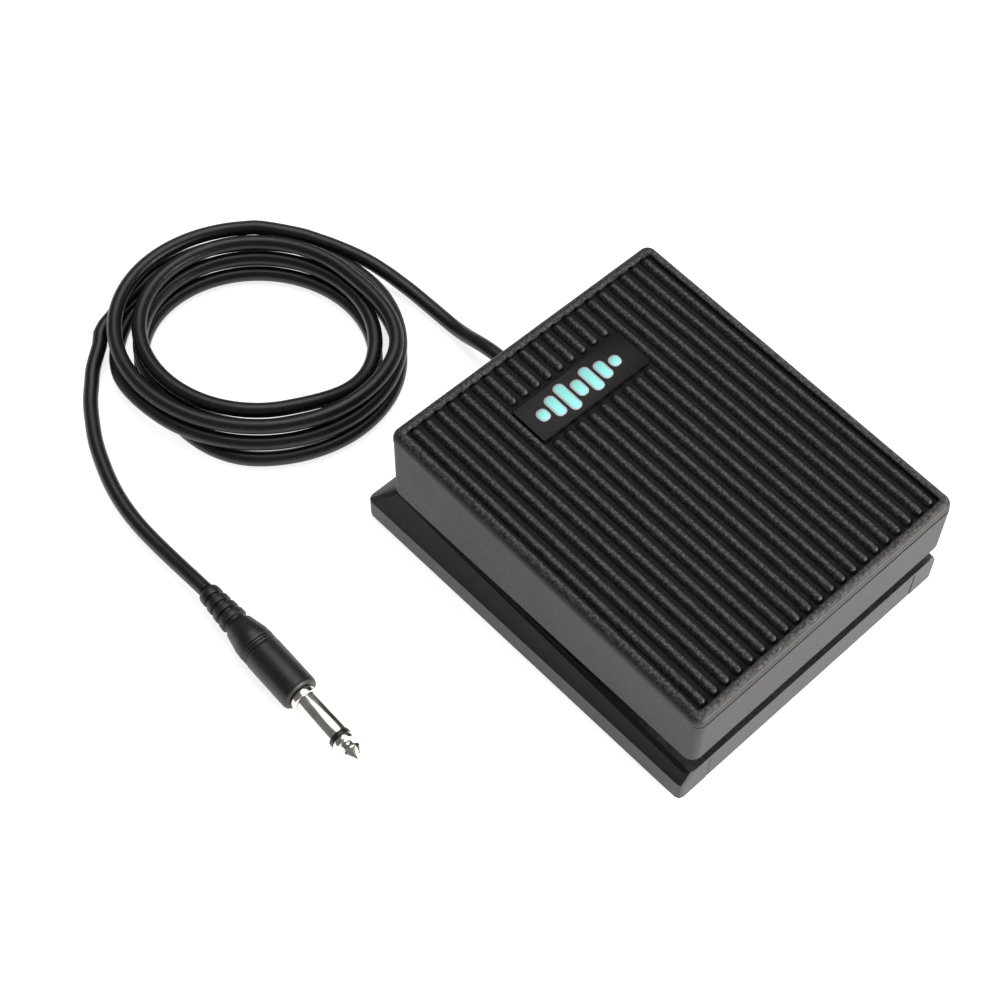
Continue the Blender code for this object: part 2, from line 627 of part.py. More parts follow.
def make_cord():
    tube("cord_lead_in", smooth_route(LEAD_IN_ROUTE, 5.5), CORD_RADIUS, cord_pvc)
    tube("cord_lead_out", smooth_route(LEAD_OUT_ROUTE, 5.5), CORD_RADIUS, cord_pvc)
    curve = bpy.data.curves.new("cord_coil", "CURVE")
    curve.dimensions = "2D"
    curve.fill_mode = "BOTH"
    curve.extrude = COIL_HEIGHT / 2 * MM
    for half_long, half_short in (COIL_OUTER, COIL_INNER):
        spline = curve.splines.new("POLY")
        spline.points.add(47)
        for i, point in enumerate(spline.points):
            turn = 2 * math.pi * i / 48
            point.co = (half_long * math.cos(turn) * MM, half_short * math.sin(turn) * MM, 0, 1)
        spline.use_cyclic_u = True
    curve.materials.append(cord_pvc)
    coil = bpy.data.objects.new("cord_coil", curve)
    PARTS.objects.link(coil)
    coil.location = Vector((*COIL_CENTRE, COIL_HEIGHT / 2)) * MM
    coil.rotation_euler.z = COIL_ANGLE


def make_plug():
    """A 6.35 mm phone plug: moulded boot, collar, sleeve, insulating ring and tip."""
    axis = (math.sin(PLUG_YAW), -math.cos(PLUG_YAW), 0)
    boot = [(0, 41.3), (4.5, 41.3), (5.2, 40.8), (5.4, 40.0), (5.4, 25.0)]
    for i in range(3):
        start = 24.5 - i * 0.95
        boot += [(5.08, start), (5.08, start - 0.4), (5.35, start - 0.5)]
    boot += [(5.2, 19.6), (4.1, 14.4)]
    for i in range(4):
        start = 13.4 - i * 3.1
        radius = 3.95 - 0.25 * i
        boot += [(radius - 0.75, start), (radius - 0.75, start - 1.0)]
        boot += [(radius, start - 1.2), (radius - 0.05, start - 2.9)]
    boot += [(2.9, 0.3), (0, 0.3)]
    turned("plug_boot", boot, PLUG_START, axis, boot_pvc)
    collar = [(0, 43.3), (3.4, 43.3), (3.8, 43.0), (3.8, 41.6), (0, 41.6)]
    turned("plug_collar", collar, PLUG_START, axis, plug_nickel)
    turned("plug_sleeve", [(0, 56.9), (3.175, 56.9), (3.175, 43.6), (0, 43.6)], PLUG_START, axis, plug_nickel)
    ring = [(0, 58.2), (3.15, 58.2), (3.15, 57.2), (0, 57.2)]
    turned("plug_insulator", ring, PLUG_START, axis, insulator_black)
    tip = [
        (0, 65.7), (0.5, 65.6), (2.95, 62.9), (2.95, 62.3), (1.9, 61.2),
        (1.8, 60.6), (3.175, 59.9), (3.175, 58.5), (0, 58.5),
    ]
    turned("plug_tip", tip, PLUG_START, axis, plug_nickel)


def main():
    treadle = bpy.data.objects.new("treadle_axis", None)
    treadle.location = Vector((0, HINGE_Y, HINGE_Z)) * MM
    PARTS.objects.link(treadle)
    make_base()
    make_underside()
    make_hinge()
    make_stops()
    make_spring()
    make_switch()
    make_treadle(treadle)
    make_tread_cap(treadle)
    make_gland()
    make_clamp()
    make_leads()
    make_cord()
    make_plug()


main()
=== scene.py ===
"""Looks of the sustain pedal: the free cord, the ribbed tread, moulded plastic, the plug, light and camera.

It works in metres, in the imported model's frame. MM turns the named sizes, in millimetres, into metres.
"""

import math

import bmesh
import bpy
from mathutils import Matrix, Vector


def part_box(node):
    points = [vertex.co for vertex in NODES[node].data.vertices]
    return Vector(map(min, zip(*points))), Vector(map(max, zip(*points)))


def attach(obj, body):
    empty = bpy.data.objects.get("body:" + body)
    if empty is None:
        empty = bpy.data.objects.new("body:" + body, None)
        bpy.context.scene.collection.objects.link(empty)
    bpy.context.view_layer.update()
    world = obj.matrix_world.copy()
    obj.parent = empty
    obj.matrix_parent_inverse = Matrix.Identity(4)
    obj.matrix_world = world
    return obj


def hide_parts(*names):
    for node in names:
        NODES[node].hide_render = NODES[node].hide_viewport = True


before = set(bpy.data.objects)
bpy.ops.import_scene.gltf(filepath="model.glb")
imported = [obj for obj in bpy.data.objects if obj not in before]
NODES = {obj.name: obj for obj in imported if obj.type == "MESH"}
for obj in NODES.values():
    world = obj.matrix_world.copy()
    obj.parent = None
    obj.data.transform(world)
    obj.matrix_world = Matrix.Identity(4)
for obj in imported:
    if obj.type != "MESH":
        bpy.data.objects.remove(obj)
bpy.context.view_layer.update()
MM = 0.001

# Camera
CAMERA_PLACE = (-0.23496, -0.18384, 0.46339)
CAMERA_RIGHT = (0.72916, -0.68428, 0.00994)
CAMERA_UP = (0.56515, 0.61028, 0.55514)
CAMERA_FORWARD = (0.38593, 0.39916, -0.83170)
CAMERA_LENS = 71.48

# Cord
CORD_RADIUS = 2.2
LEAD_IN = [
    (10.0, 70.3, 8.6), (10.0, 75.0, 8.1), (10.2, 80.0, 6.6), (10.6, 85.5, 4.4), (11.0, 91.0, 2.8),
    (11.2, 97.0, 2.3), (11.1, 103.5, 2.4), (10.7, 109.5, 3.0), (9.9, 114.5, 3.9), (8.9, 119.0, 5.0),
    (7.0, 126.0, 6.3), (3.4, 133.8, 8.0), (-0.6, 140.2, 9.7), (-3.8, 144.9, 10.7),
]
LEAD_OUT = [
    (-65.4, 159.8, 5.6), (-70.7, 155.6, 4.6), (-76.6, 151.1, 3.2), (-80.2, 147.2, 2.6), (-84.3, 142.3, 2.3),
    (-88.2, 136.2, 2.3), (-91.8, 129.7, 2.3), (-94.7, 122.7, 2.3), (-97.2, 115.3, 2.3), (-98.9, 107.8, 2.3),
    (-99.9, 99.4, 2.4), (-100.2, 90.1, 2.8), (-100.3, 80.5, 3.9), (-100.4, 73.5, 5.0), (-100.4, 68.0, 5.6),
]
COIL_MIDDLE = (-34.7, 126.2)
OUTER_AXES = ((30.45, -28.12), (23.45, 28.65))
INNER_AXES = ((25.16, -23.24), (19.8, 24.19))
LAYER_SLIP = (-1.67, -1.73)
COIL_START = 88
COIL_STOP = 1950
COIL_STEP = 8
# Each move of the winding: the turns in degrees where it starts and ends, and the value before and after.
COLUMN_MOVES = [(340, 400, 1.0, 0.0), (1295, 1350, 0.0, 1.0)]
LAYER_MOVES = [(645, 705, 0.0, 1.0), (1005, 1065, 1.0, 2.0), (1610, 1665, 2.0, 1.0)]

# Plug, along its own axis
PLUG_START = (-100.4, 67.7, 5.6)
PLUG_YAW = math.radians(-2.4)
PLUG_AXIS = (math.sin(PLUG_YAW), -math.cos(PLUG_YAW), 0)

PLUG_TIP_PROFILE = [
    (0, 65.7), (0.6, 65.5), (2.95, 62.9), (2.95, 62.2), (1.9, 61.2), (1.8, 60.6), (3.175, 59.9), (3.175, 58.4),
    (0, 58.4),
]

# Underside, turned profiles with the upper end first
FOOT_PROFILE = [
    (0, 1.5), (5.5, 1.5), (5.5, 0.5), (5.0, 0.0), (3.9, 0.0), (3.7, 0.25), (3.2, 0.25), (3.0, 0.0), (0, 0.0),
]
SCREW_PROFILE = [
    (0, 10.0), (1.0, 10.0), (1.5, 9.4), (1.5, 1.5), (2.8, 1.5), (2.6, 0.8), (1.8, 0.5), (1.0, 0.5), (0.7, 1.3),
    (0, 1.35),
]

# Tread cap, in its own inclined plane
TREAD_MIDDLE = (0.0, -4.45, 43.1)
TREAD_SLOPE = math.atan2(6.6, 111.9)
TREAD_HALF = (48.0, 56.05)
TREAD_CORNER = 3.0
CAP_BOTTOM = -3.36
CAP_EDGE = 2.6
BORDER_ROUND = 2.7
POCKET_INSET = 3.1
POCKET_DEPTH = 1.5
RIB_COUNT = 21
RIB_PITCH = 4.24
RIB_CREST = 0.35
RIB_FOOT = 1.7
RIB_END = 53.0
RIB_TOP = -0.05
RIB_COLUMNS = (-2.12, -1.5, -1.25, -1.05, -0.85, -0.65, -0.45, -0.2, 0.2, 0.45, 0.65, 0.85, 1.05, 1.25, 1.5)
# Of the border's bands, from the pocket outwards, the first ones have the tread's grain.
GRAINY_BANDS = 7
LABEL_LOW = (-19.7, 27.1)
LABEL_HIGH = (19.7, 39.5)
BAR_HEIGHTS = (3.0, 6.2, 8.6, 4.6, 7.6, 5.2, 2.6)
BAR_PITCH = 4.4
BAR_SHIFT = -1.0

# Which edges of the mouldings are rounded, in metres: how near to the outside, how high, how long
COVER_REACH, COVER_TOP, COVER_SHORTEST = 0.0052, 0.0206, 0.8 * MM
BASE_REACH, BASE_BOTTOM, BASE_TOP, BASE_SHORTEST = 0.0092, 0.0009, 0.0202, 0.3 * MM

# Size of the soft patches in a moulded finish, in metres
PATCH_SIZE = 0.014


# ---------------------------------------------------------------- materials


def add_node(tree, kind, inputs=None, **settings):
    """Adds a shader node; each input is a plain value or another node's output."""
    node = tree.nodes.new(kind)
    for key, value in settings.items():
        setattr(node, key, value)
    for key, value in (inputs or {}).items():
        if isinstance(value, bpy.types.NodeSocket):
            tree.links.new(value, node.inputs[key])
        else:
            node.inputs[key].default_value = value
    return node


def new_finish(name, **sockets):
    """A material with a Principled shader, and its node tree, shader and object coordinates."""
    finish = bpy.data.materials.new(name)
    finish.use_nodes = True
    tree = finish.node_tree
    shader = tree.nodes["Principled BSDF"]
    for key, value in sockets.items():
        shader.inputs[key.replace("_", " ")].default_value = value
    place = add_node(tree, "ShaderNodeTexCoord").outputs["Object"]
    return finish, tree, shader, place


def noise(tree, place, size, detail=2.0):
    """Noise whose features are about `size` metres across."""
    inputs = {"Vector": place, "Scale": 1.0 / size, "Detail": detail}
    return add_node(tree, "ShaderNodeTexNoise", inputs).outputs["Fac"]


def ramp(tree, factor, low, high, start=0.3, stop=0.7):
    """Blends two colours as factor goes from start to stop."""
    node = add_node(tree, "ShaderNodeValToRGB", {"Fac": factor})
    first, last = node.color_ramp.elements
    first.position, last.position = start, stop
    first.color, last.color = (*low, 1.0), (*high, 1.0)
    return node.outputs["Color"]


def remap(tree, value, low, high, start=0.3, stop=0.7):
    """Goes from low to high as value goes from start to stop."""
    inputs = {"Value": value, "From Min": start, "From Max": stop, "To Min": low, "To Max": high}
    return add_node(tree, "ShaderNodeMapRange", inputs).outputs["Result"]


def combine(tree, operation, first, second):
    """One arithmetic operation on two values or outputs."""
    node = add_node(tree, "ShaderNodeMath", operation=operation)
    for socket, value in zip(node.inputs, (first, second)):
        if isinstance(value, bpy.types.NodeSocket):
            tree.links.new(value, socket)
        else:
            socket.default_value = value
    return node.outputs["Value"]


def weighted(tree, first, first_share, second, second_share):
    """The sum of two values, each times its share."""
    parts = combine(tree, "MULTIPLY", first, first_share), combine(tree, "MULTIPLY", second, second_share)
    return combine(tree, "ADD", *parts)


def connect(tree, shader, colour, roughness, height, depth):
    """Wires the colour, the roughness and a bump of `depth` metres into the shader."""
    tree.links.new(colour, shader.inputs["Base Color"])
    tree.links.new(roughness, shader.inputs["Roughness"])
    bump = add_node(tree, "ShaderNodeBump", {"Height": height, "Strength": 1.0, "Distance": depth})
    tree.links.new(bump.outputs["Normal"], shader.inputs["Normal"])


def grained(name, dark, light, roughness, grain, depth, **sockets):
    """Moulded plastic or rubber: soft patches of colour and sheen under a fine grain."""
    finish, tree, shader, place = new_finish(name, **sockets)
    patches = noise(tree, place, PATCH_SIZE, 4.0)
    fine = noise(tree, place, grain, 3.0)
    mixed = weighted(tree, patches, 0.35, fine, 0.65)
    colour = ramp(tree, mixed, dark, light, 0.38, 0.62)
    sheen = remap(tree, mixed, roughness[0], roughness[1], 0.4, 0.6)
    connect(tree, shader, colour, sheen, fine, depth)
    return finish


def coarse_grained():
    """The tread's pebbled rubber: coarse grain, with painted shade that darkens the grooves and lightens the
    crests.
    """
    finish, tree, shader, place = new_finish("tread_grain_and_groove_shade", Specular_IOR_Level=0.30)
    pebbles = {"Vector": place, "Scale": 1.0 / 0.0011}
    pebble = add_node(tree, "ShaderNodeTexVoronoi", pebbles, feature="SMOOTH_F1").outputs["Distance"]
    fine = noise(tree, place, 0.0008, 3.0)
    height = weighted(tree, pebble, -0.9, fine, 0.8)
    split = add_node(tree, "ShaderNodeSeparateXYZ", {"Vector": place})
    # Painted shade: the colour darkens lower down in the cap's frame, in the grooves and down the border, and
    # lightens up on the crests.
    crest = remap(tree, split.outputs["Z"], 0.0, 1.0, -1.25 * MM, -0.12 * MM)
    grit = remap(tree, fine, 0.0, 1.0, 0.42, 0.64)
    groove_shade = combine(tree, "MULTIPLY", crest, combine(tree, "ADD", combine(tree, "MULTIPLY", grit, 0.7), 0.3))
    lit = weighted(tree, grit, 0.07, groove_shade, 0.80)
    colour = ramp(tree, lit, (0.0018, 0.0017, 0.0019), (0.100, 0.094, 0.097), 0.0, 1.0)
    sheen = remap(tree, crest, 0.72, 0.50)
    connect(tree, shader, colour, sheen, height, 0.00014)
    return finish


def turned_metal(name, dark, light, roughness):
    """Plated metal with faint lathe marks and cloudy wear."""
    finish, tree, shader, place = new_finish(name, Metallic=1.0)
    cloud = noise(tree, place, 0.004, 4.0)
    marks = noise(tree, place, 0.00025, 2.0)
    colour = ramp(tree, cloud, dark, light)
    sheen = remap(tree, cloud, roughness[0], roughness[1])
    connect(tree, shader, colour, sheen, marks, 0.000004)
    return finish


def sheet_steel():
    """Zinc-plated sheet with rolling marks along the pedal."""
    finish, tree, shader, place = new_finish("plated_sheet", Metallic=1.0)
    stretch = add_node(tree, "ShaderNodeMapping", {"Vector": place, "Scale": (1.0, 0.05, 1.0)})
    marks = noise(tree, stretch.outputs["Vector"], 0.0006, 4.0)
    spangle = add_node(tree, "ShaderNodeTexVoronoi", {"Vector": place, "Scale": 160.0}).outputs["Distance"]
    colour = ramp(tree, spangle, (0.42, 0.43, 0.45), (0.56, 0.57, 0.58), 0.0, 0.8)
    sheen = remap(tree, marks, 0.32, 0.48)
    connect(tree, shader, colour, sheen, marks, 0.00002)
    return finish


FINISHES = {
    "cover_plastic": grained(
        "cover_plastic", (0.012, 0.0105, 0.0098), (0.034, 0.030, 0.028), (0.46, 0.58), 0.0011, 0.00006,
        Specular_IOR_Level=0.42,
    ),
    "base_plastic": grained(
        "base_plastic", (0.016, 0.0145, 0.0138), (0.042, 0.038, 0.036), (0.44, 0.56), 0.0009, 0.00005,
        Specular_IOR_Level=0.5,
    ),
    # Painted shade: a darker copy of the base plastic for the side skirts, which lie in the shadow under the
    # treadle.
    "base_skirt_shade": grained(
        "base_skirt_shade", (0.0035, 0.003, 0.003), (0.009, 0.0078, 0.0076), (0.55, 0.65), 0.0009, 0.00005,
        Specular_IOR_Level=0.22,
    ),
    "tread_rubber": coarse_grained(),
    "label_gloss": grained(
        "label_gloss", (0.0045, 0.004, 0.0035), (0.0075, 0.0065, 0.0055), (0.34, 0.42), 0.0012, 0.000006,
        Specular_IOR_Level=0.18,
    ),
    "foot_rubber": grained(
        "foot_rubber", (0.012, 0.012, 0.012), (0.024, 0.023, 0.022), (0.75, 0.9), 0.0004, 0.00005,
    ),
    "plate_steel": sheet_steel(),
    "bright_steel": turned_metal("bright_steel", (0.52, 0.52, 0.53), (0.66, 0.66, 0.66), (0.2, 0.32)),
    "spring_steel": turned_metal("spring_steel", (0.38, 0.38, 0.40), (0.54, 0.54, 0.55), (0.24, 0.36)),
    "switch_plastic": grained(
        "switch_plastic", (0.014, 0.014, 0.016), (0.026, 0.026, 0.028), (0.35, 0.5), 0.0006, 0.00001,
    ),
    "plunger_plastic": grained(
        "plunger_plastic", (0.42, 0.05, 0.03), (0.58, 0.09, 0.05), (0.35, 0.45), 0.0005, 0.00001,
    ),
    "terminal_brass": turned_metal("terminal_brass", (0.62, 0.44, 0.17), (0.76, 0.58, 0.28), (0.25, 0.4)),
    "cord_pvc": grained(
        "cord_pvc", (0.0045, 0.0045, 0.0045), (0.009, 0.009, 0.009), (0.33, 0.42), 0.0007, 0.000012,
    ),
    "boot_pvc": grained(
        "boot_pvc", (0.007, 0.007, 0.007), (0.014, 0.014, 0.013), (0.38, 0.48), 0.0005, 0.00002,
    ),
    "clamp_nylon": grained(
        "clamp_nylon", (0.02, 0.02, 0.02), (0.035, 0.034, 0.033), (0.45, 0.55), 0.0006, 0.00002,
    ),
    "lead_red": grained("lead_red", (0.40, 0.02, 0.015), (0.55, 0.05, 0.03), (0.35, 0.5), 0.0006, 0.00001),
    "lead_white": grained("lead_white", (0.66, 0.65, 0.61), (0.80, 0.79, 0.75), (0.4, 0.5), 0.0006, 0.00001),
    "plug_nickel": turned_metal("plug_nickel", (0.74, 0.70, 0.64), (0.88, 0.85, 0.79), (0.16, 0.24)),
    "insulator_black": grained(
        "insulator_black", (0.006, 0.006, 0.006), (0.012, 0.012, 0.012), (0.3, 0.4), 0.0005, 0.00001,
    ),
    "print_white": grained(
        "print_white", (0.46, 0.51, 0.56), (0.52, 0.57, 0.62), (0.5, 0.6), 0.0006, 0.000004,
    ),
    "print_cyan": grained("print_cyan", (0.30, 0.92, 0.85), (0.36, 0.97, 0.90), (0.5, 0.6), 0.0006, 0.000004),
}

CAD_FINISH = {
    "base_shell": "base_plastic", "front_strip": "base_plastic", "treadle_cover": "cover_plastic",
    "bottom_plate": "plate_steel", "hinge_pin": "bright_steel", "pin_clip_left": "bright_steel",
    "pin_clip_right": "bright_steel", "stop_bumper_left": "foot_rubber", "stop_bumper_right": "foot_rubber",
    "return_spring": "spring_steel", "switch_case": "switch_plastic", "switch_lever": "bright_steel",
    "switch_plunger": "plunger_plastic", "switch_screw_front": "bright_steel",
    "switch_screw_rear": "bright_steel", "terminal_common": "terminal_brass",
    "terminal_normally_open": "terminal_brass", "terminal_normally_closed": "terminal_brass",
    "cord_clamp": "clamp_nylon", "clamp_screw_left": "bright_steel", "clamp_screw_right": "bright_steel",
    "cord_inner": "cord_pvc", "lead_signal": "lead_red", "lead_ground": "lead_white",
}


def paint(item, *names, slot=None):
    """Gives an object its finishes; the slot argument is not used."""
    for name in names:
        item.data.materials.append(FINISHES[name])


# ---------------------------------------------------------------- shapes


def show(name, mesh, matrix=None):
    """Adds a mesh to the scene, smooth where its faces meet gently."""
    item = bpy.data.objects.new(name, mesh)
    bpy.context.scene.collection.objects.link(item)
    if matrix:
        item.matrix_world = matrix
    mesh.shade_smooth()
    mesh.set_sharp_from_angle(angle=math.radians(38))
    return item


def to_mesh(name, shape):
    """Turns a bmesh, whose faces all turn outwards, into a mesh."""
    bmesh.ops.recalc_face_normals(shape, faces=shape.faces)
    mesh = bpy.data.meshes.new(name)
    shape.to_mesh(mesh)
    shape.free()
    return mesh


def rounded_ring(half_x, half_y, corner, steps=8):
    """Points around a rounded rectangle."""
    points = []
    for quarter, (side_x, side_y) in enumerate(((1, 1), (-1, 1), (-1, -1), (1, -1))):
        for step in range(steps + 1):
            turn = math.radians(90 * quarter + 90 * step / steps)
            x = side_x * (half_x - corner) + corner * math.cos(turn)
            y = side_y * (half_y - corner) + corner * math.sin(turn)
            points.append((x, y))
    return points


def loft(shape, rings, finish=0):
    """Joins rings of (x, y, z) points, in millimetres, with quads. finish is a slot, or one for each band."""
    rows = [[shape.verts.new(Vector(p) * MM) for p in ring] for ring in rings]
    for band, (lower, upper) in enumerate(zip(rows, rows[1:])):
        count = len(lower)
        for i in range(count):
            j = (i + 1) % count
            face = shape.faces.new((lower[i], lower[j], upper[j], upper[i]))
            face.material_index = finish if isinstance(finish, int) else finish[band]
    return rows


def rounded_block(shape, half_x, half_y, low, high, corner, edge, middle=(0, 0), finish=0):
    """A closed block with rounded upright corners and a rounded top edge."""
    rings = []
    for inset, z in ((0, low), (0, high - edge), (edge * 0.29, high - edge * 0.29), (edge, high)):
        flat = rounded_ring(half_x - inset, half_y - inset, max(0.05, corner - inset))
        rings.append([(x + middle[0], y + middle[1], z) for x, y in flat])
    rows = loft(shape, rings, finish)
    for row in (rows[0], rows[-1]):
        shape.faces.new(row).material_index = finish


def along(axis):
    """Rotation that carries +Z onto an axis."""
    return Vector((0, 0, 1)).rotation_difference(Vector(axis)).to_matrix().to_4x4()


def rounded_profile(profile, radius=0.16):
    """Softens the corners of a turned profile: each inner point becomes a short three-point curve."""
    soft = [profile[0]]
    for before, corner, after in zip(profile, profile[1:], profile[2:]):
        a, b, c = Vector(before), Vector(corner), Vector(after)
        back, ahead = a - b, c - b
        reach = min(radius, back.length * 0.4, ahead.length * 0.4)
        first, last = b + back.normalized() * reach, b + ahead.normalized() * reach
        soft += [tuple(first), tuple((first + last + b * 2) / 4), tuple(last)]
    soft.append(profile[-1])
    return soft


def turned(name, profile, origin, axis, finish, node, sides=64, radius=0.16):
    """A turned piece of the base that stands for a CAD node: (radius, distance) pairs, far end first."""
    shape = bmesh.new()
    matrix = Matrix.Translation(Vector(origin) * MM) @ along(axis)
    soft = rounded_profile(profile, radius)
    rows = []
    for reach, distance in soft:
        if reach < 1e-6:
            rows.append([shape.verts.new((0, 0, distance * MM))])
            continue
        row = []
        for i in range(sides):
            turn = 2 * math.pi * i / sides
            across = reach * math.cos(turn) * MM, reach * math.sin(turn) * MM
            row.append(shape.verts.new((*across, distance * MM)))
        rows.append(row)
    for lower, upper in zip(rows, rows[1:]):
        for i in range(sides):
            j = (i + 1) % sides
            below = [lower[i % len(lower)], lower[j % len(lower)]]
            above = [upper[j % len(upper)], upper[i % len(upper)]]
            unique = list(dict.fromkeys(below + above))
            if len(unique) > 2:
                shape.faces.new(unique)
    item = show(name, to_mesh(name, shape), matrix)
    paint(item, finish)
    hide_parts(node)
    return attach(item, "base")


def refined(node, name, pick, width, finish, body):
    """A copy of a CAD node's mesh with its chosen outer edges rounded, which stands for that node."""
    shape = bmesh.new()
    shape.from_mesh(NODES[node].data)
    bmesh.ops.remove_doubles(shape, verts=shape.verts, dist=2e-6)
    bmesh.ops.dissolve_limit(shape, angle_limit=math.radians(0.6), verts=shape.verts, edges=shape.edges)
    edges = []
    for edge in shape.edges:
        if len(edge.link_faces) == 2 and edge.calc_face_angle() > math.radians(24) and pick(edge):
            edges.append(edge)
    bmesh.ops.bevel(
        shape, geom=edges, offset=width * MM, segments=3, profile=0.5, affect="EDGES", clamp_overlap=True
    )
    item = show(name, to_mesh(name, shape))
    item.modifiers.new("even_shading", "WEIGHTED_NORMAL").keep_sharp = True
    paint(item, finish)
    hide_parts(node)
    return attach(item, body)


# ---------------------------------------------------------------- cord


def smooth_line(points, steps=3):
    """A smooth curve through every point, with `steps` pieces between neighbours."""
    nodes = [Vector(p) for p in points]
    ends = [nodes[0] * 2 - nodes[1]] + nodes + [nodes[-1] * 2 - nodes[-2]]
    line = []
    for a, b, c, d in zip(ends, ends[1:], ends[2:], ends[3:]):
        for step in range(steps):
            t = step / steps
            bend, twist = a * 2 - b * 5 + c * 4 - d, b * 3 - a - c * 3 + d
            line.append((b * 2 + (c - a) * t + bend * t**2 + twist * t**3) / 2)
    line.append(nodes[-1])
    return line


def ease(turn, start, stop):
    """Goes smoothly from 0 to 1 as turn goes from start to stop."""
    share = min(1.0, max(0.0, (turn - start) / (stop - start)))
    return share * share * (3 - 2 * share)


def moved(turn, value, moves):
    """The value that a list of eased moves has reached at a turn."""
    for start, stop, before, after in moves:
        if turn > start:
            value = before + (after - before) * ease(turn, start, stop)
    return value


def coil_point(turn):
    """The winding's centreline at a turn in degrees; its column is 1 outside and its layer 0 on top."""
    outward = moved(turn, 1.0, COLUMN_MOVES)
    down = moved(turn, 0.0, LAYER_MOVES)
    angle = math.radians(turn)
    point = []
    for k in range(2):
        inner = INNER_AXES[0][k] * math.cos(angle) + INNER_AXES[1][k] * math.sin(angle)
        outer = OUTER_AXES[0][k] * math.cos(angle) + OUTER_AXES[1][k] * math.sin(angle)
        point.append(COIL_MIDDLE[k] + LAYER_SLIP[k] * down + inner + (outer - inner) * outward)
    return (*point, CORD_RADIUS + (2 - down) * 2 * CORD_RADIUS)


def make_cord(plug):
    """The whole free cord, from the strain relief through its coil to the plug."""
    winding = [coil_point(turn) for turn in range(COIL_START, COIL_STOP, COIL_STEP)]
    line = smooth_line(LEAD_IN + winding + LEAD_OUT)
    curve = bpy.data.curves.new("free_cord", "CURVE")
    curve.dimensions = "3D"
    curve.bevel_depth = CORD_RADIUS * MM
    curve.bevel_resolution = 5
    curve.use_fill_caps = True
    spline = curve.splines.new("POLY")
    spline.points.add(len(line) - 1)
    for point, place in zip(spline.points, line):
        point.co = (*(place * MM), 1.0)
    spline.use_smooth = True
    cord = bpy.data.objects.new("free_cord", curve)
    bpy.context.scene.collection.objects.link(cord)
    paint(cord, "cord_pvc")
    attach(cord, "base")
    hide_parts("cord_lead_in", "cord_coil", "cord_lead_out")


def make_plug():
    """The moulded boot and the 6.35 mm phone plug."""
    boot = [(0, 41.3), (4.5, 41.3), (5.2, 40.8), (5.4, 40.0), (5.4, 25.0)]
    for i in range(3):
        start = 24.5 - i * 0.95
        boot += [(5.05, start), (5.05, start - 0.4), (5.35, start - 0.5)]
    boot += [(5.2, 19.6), (4.1, 14.4)]
    for i in range(4):
        start = 13.4 - i * 3.1
        radius = 3.95 - 0.25 * i
        boot += [(radius - 0.75, start), (radius - 0.75, start - 1.0)]
        boot += [(radius, start - 1.2), (radius - 0.05, start - 2.9)]
    boot += [(2.9, 0.3), (0, 0.3)]
    collar = [(0, 43.4), (3.3, 43.4), (3.8, 43.0), (3.8, 41.5), (0, 41.5)]
    sleeve = [(0, 57.0), (3.175, 57.0), (3.175, 43.5), (0, 43.5)]
    ring = [(0, 58.35), (3.17, 58.35), (3.17, 57.1), (0, 57.1)]
    pieces = [
        ("plug_boot", boot, "boot_pvc", 0.16), ("plug_collar", collar, "plug_nickel", 0.16),
        ("plug_sleeve", sleeve, "plug_nickel", 0.12), ("plug_insulator", ring, "insulator_black", 0.08),
        ("plug_tip", PLUG_TIP_PROFILE, "plug_nickel", 0.3),
    ]
    plug = []
    for node, profile, finish, radius in pieces:
        plug.append(turned(f"{node}_turned", profile, PLUG_START, PLUG_AXIS, finish, node, radius=radius))
    return plug


def make_gland():
    """The ribbed strain relief where the cord leaves the base."""
    low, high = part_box("cord_gland")
    start = (low.x + high.x) / 2 / MM, low.y / MM, (low.z + high.z) / 2 / MM
    profile = [(0, 23.0), (2.8, 23.0), (2.9, 21.6)]
    for i in range(3):
        top = 20.9 - i * 1.9
        radius = 3.0 + 0.2 * i
        profile += [(radius - 0.35, top), (radius - 0.35, top - 0.6)]
        profile += [(radius + 0.1, top - 0.8), (radius + 0.2, top - 1.7)]
    profile += [(4.5, 15.0), (4.5, 13.3), (3.4, 13.3), (3.4, 1.7), (4.6, 1.7), (4.6, 0), (0, 0)]
    turned("cord_gland_turned", profile, start, (0, 1, 0), "boot_pvc", "cord_gland")


# ---------------------------------------------------------------- treadle


def rib_places():
    """Each rib's x."""
    return [(i - (RIB_COUNT - 1) / 2) * RIB_PITCH for i in range(RIB_COUNT)]


def rib_lines():
    """Each rib's stretches: its x, and where the stretch starts and stops along the cap."""
    for x in rib_places():
        if LABEL_LOW[0] < x < LABEL_HIGH[0]:
            yield x, -RIB_END, LABEL_LOW[1] - 0.7
            yield x, LABEL_HIGH[1] + 1.0, RIB_END
        else:
            yield x, -RIB_END, RIB_END


